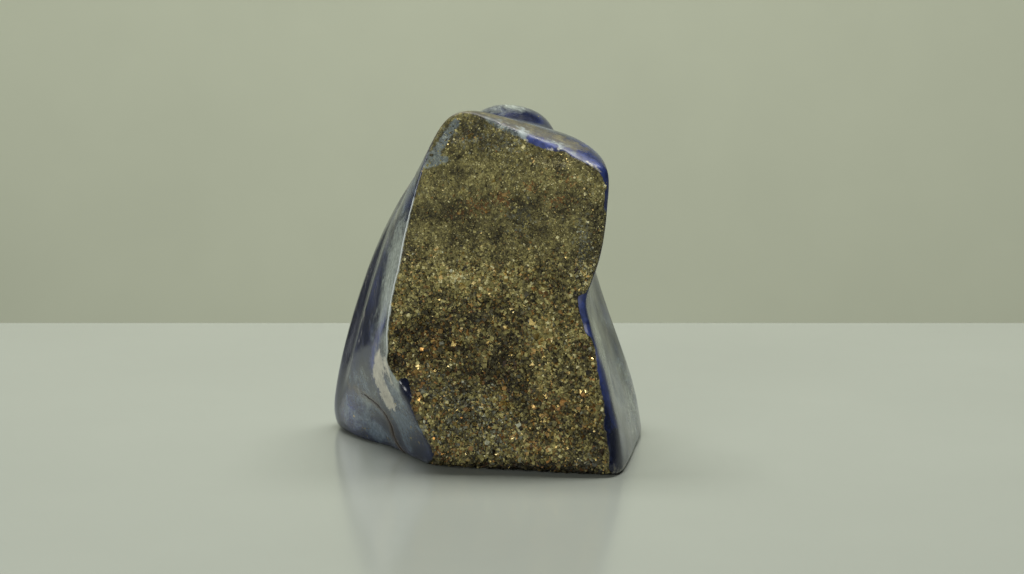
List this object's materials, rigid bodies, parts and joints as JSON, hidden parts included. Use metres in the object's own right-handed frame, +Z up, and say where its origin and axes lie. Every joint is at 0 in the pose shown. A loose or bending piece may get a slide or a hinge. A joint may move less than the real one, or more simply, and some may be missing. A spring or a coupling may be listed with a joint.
{
  "type": "lapis lazuli freeform",
  "caption": "Ground and polished natural stone that stands on a flat base, with a raw pyrite crust on its front and a rounded hump behind it.",
  "frame": {"origin": "middle of the bounding box, on the flat base", "axes": "+Z up from the base, the raw crust faces -Y, the polished hump is towards +Y, +X is to the right as seen from the crust"},
  "size_m": [0.061, 0.068, 0.0653],
  "materials": {
    "lapis_stone": "polished mottled blue sides, raw olive-gold crust on the front"
  },
  "bodies": {
    "root": {"lapis_stone": "lapis_stone"}
  },
  "joints": []
}
